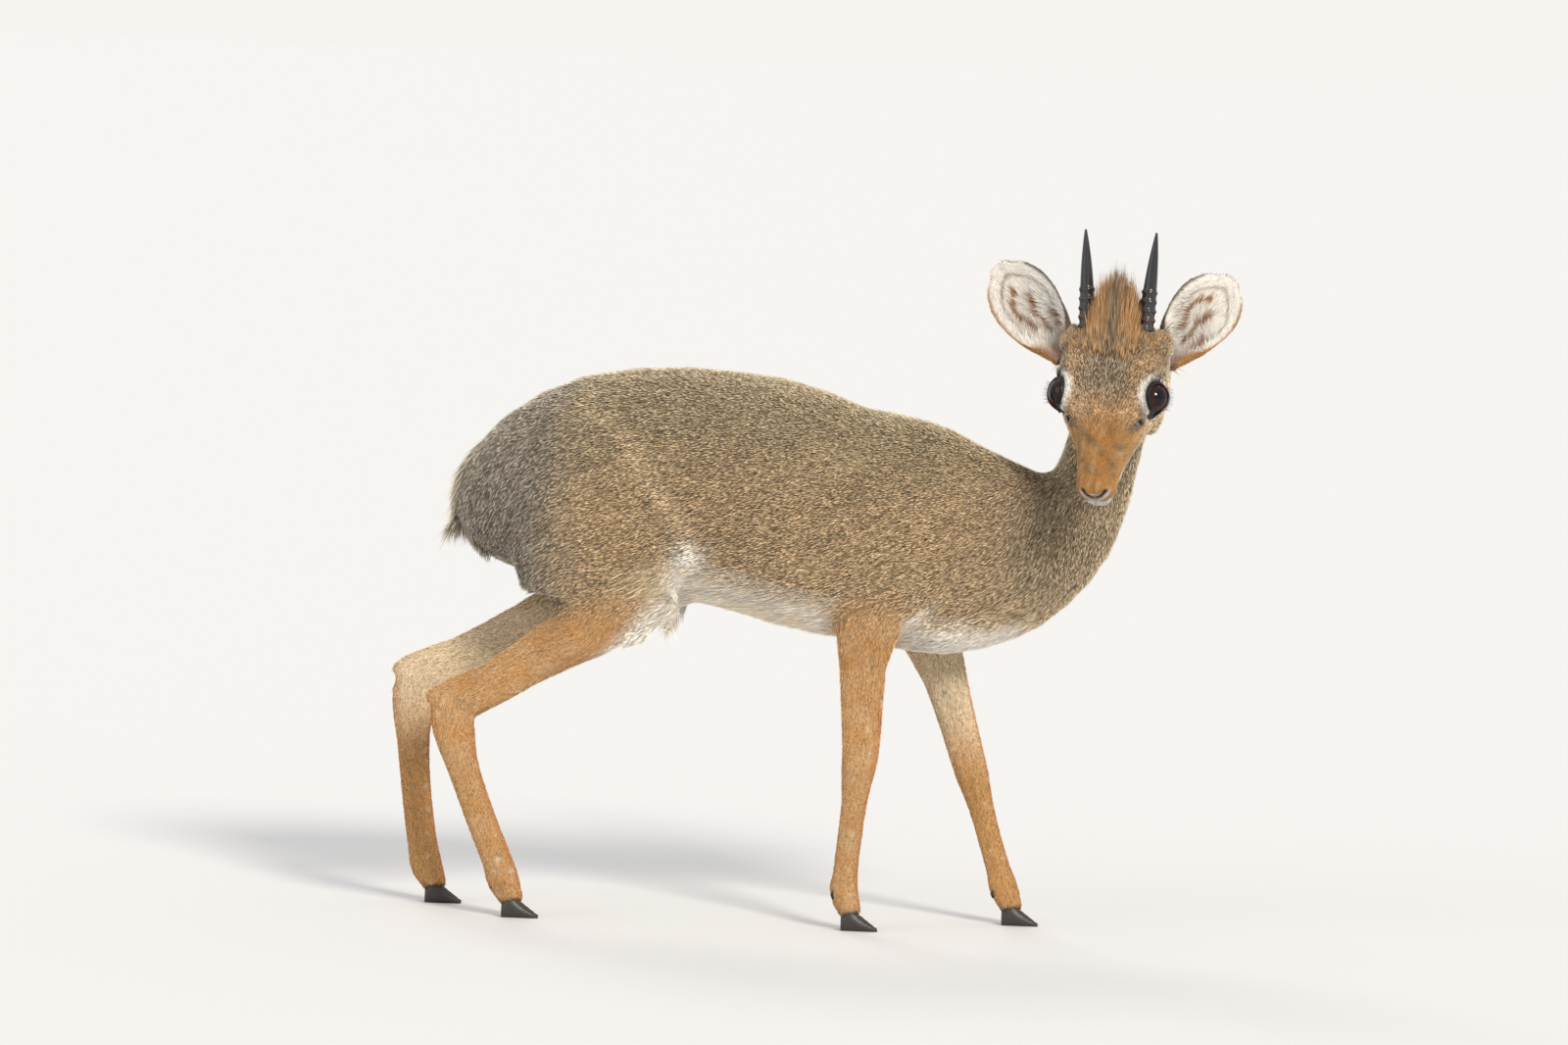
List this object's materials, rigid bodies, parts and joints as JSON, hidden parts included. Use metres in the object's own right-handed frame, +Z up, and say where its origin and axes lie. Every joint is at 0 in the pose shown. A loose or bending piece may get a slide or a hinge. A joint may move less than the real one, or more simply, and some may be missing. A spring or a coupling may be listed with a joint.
{
  "type": "dik-dik, a small antelope, life-size still model",
  "caption": "Life-size still model of a male dik-dik standing mid-stride, its head turned to look to its right.",
  "frame": {"origin": "bottom centre of the bounding box, at the soles of the hooves", "axes": "+X to the front of the body, +Z up, -Y to the animal's right, where its face looks"},
  "size_m": [0.5954, 0.177, 0.5042],
  "materials": {
    "coat_grey": "short grizzled hair",
    "coat_tan": "short smooth hair",
    "coat_face": "short hair",
    "coat_white": "soft pale hair",
    "horn": "polished dark horn",
    "hoof": "dark hoof horn",
    "eye": "wet and clear"
  },
  "bodies": {
    "root": {"torso": "coat_grey", "neck": "coat_grey", "head": "coat_face", "tail": "coat_grey", "ear_left": "coat_white", "horn_left": "horn", "eye_left": "eye", "ear_right": "coat_white", "horn_right": "horn", "eye_right": "eye", "fore_right_leg_upper": "coat_tan", "fore_right_leg_lower": "coat_tan", "fore_right_claw_inner": "hoof", "fore_right_claw_outer": "hoof", "fore_left_leg_upper": "coat_tan", "fore_left_leg_lower": "coat_tan", "fore_left_claw_inner": "hoof", "fore_left_claw_outer": "hoof", "hind_right_leg_upper": "coat_tan", "hind_right_leg_lower": "coat_tan", "hind_right_claw_inner": "hoof", "hind_right_claw_outer": "hoof", "hind_left_leg_upper": "coat_tan", "hind_left_leg_lower": "coat_tan", "hind_left_claw_inner": "hoof", "hind_left_claw_outer": "hoof"}
  },
  "joints": []
}
